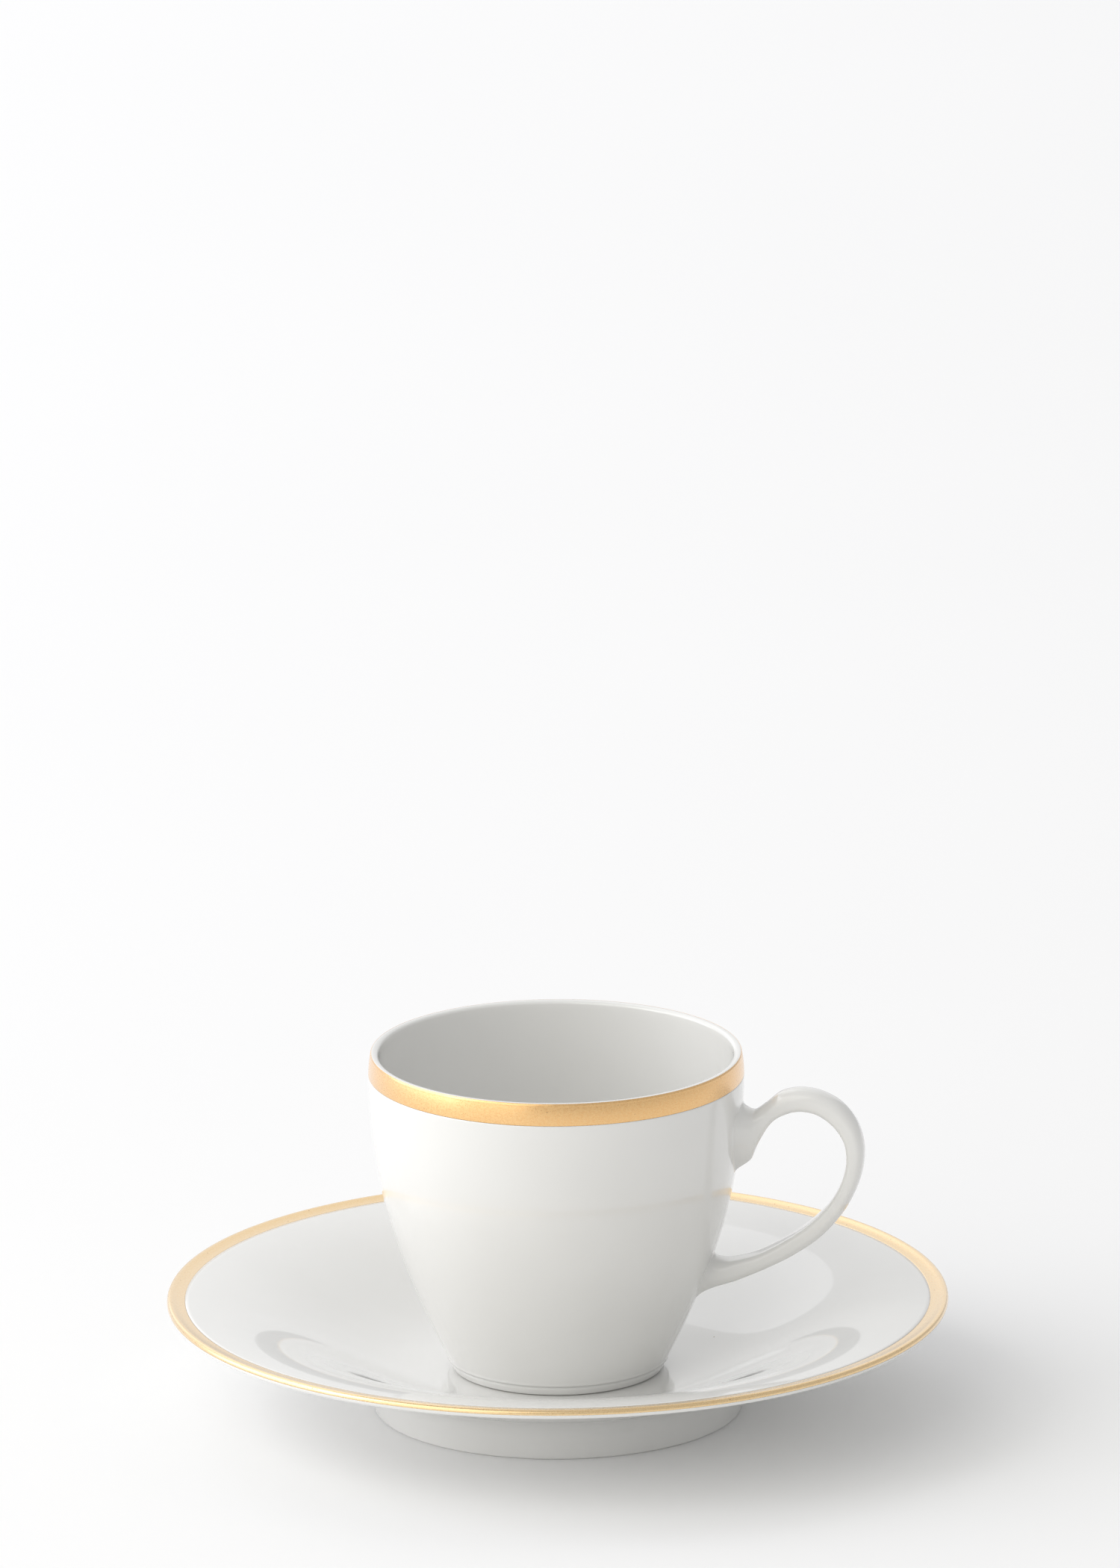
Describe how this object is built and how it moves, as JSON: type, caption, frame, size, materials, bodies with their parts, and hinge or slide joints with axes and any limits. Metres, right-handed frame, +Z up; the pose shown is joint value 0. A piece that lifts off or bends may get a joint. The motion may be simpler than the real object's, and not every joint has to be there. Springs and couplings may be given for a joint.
{
  "type": "teacup with saucer",
  "caption": "Tapered white porcelain teacup with an ear handle and a satin gold rim band, standing loose in the well of a matching footed saucer.",
  "frame": {"origin": "centre of the saucer's foot ring, at the height of the table that it stands on", "axes": "+Z up along the common axis of cup and saucer, +X towards the handle, XZ the mirror plane"},
  "size_m": [0.1684, 0.1684, 0.0795],
  "materials": {
    "glazed_porcelain": "white hard-paste porcelain under a clear, smooth, glossy glaze",
    "foot_porcelain": "the same white porcelain, glazed on its sides and left bare and matt on the edge that it stands on",
    "satin_gold": "fired gold lustre, satin, with fine brushed grain running round the rim"
  },
  "bodies": {
    "saucer": {"saucer_dish": "glazed_porcelain", "saucer_foot_ring": "foot_porcelain", "saucer_gold_band": "satin_gold"},
    "cup": {"cup_bowl": "glazed_porcelain", "cup_foot_ring": "foot_porcelain", "cup_gold_band": "satin_gold", "cup_handle": "glazed_porcelain", "handle_upper_slip_joint": "glazed_porcelain", "handle_lower_slip_joint": "glazed_porcelain"}
  },
  "joints": [
    {"name": "cup_lift", "type": "slide", "parent": "saucer", "child": "cup", "axis": [0, 0, 1], "range_m": [0, 0.1]}
  ]
}
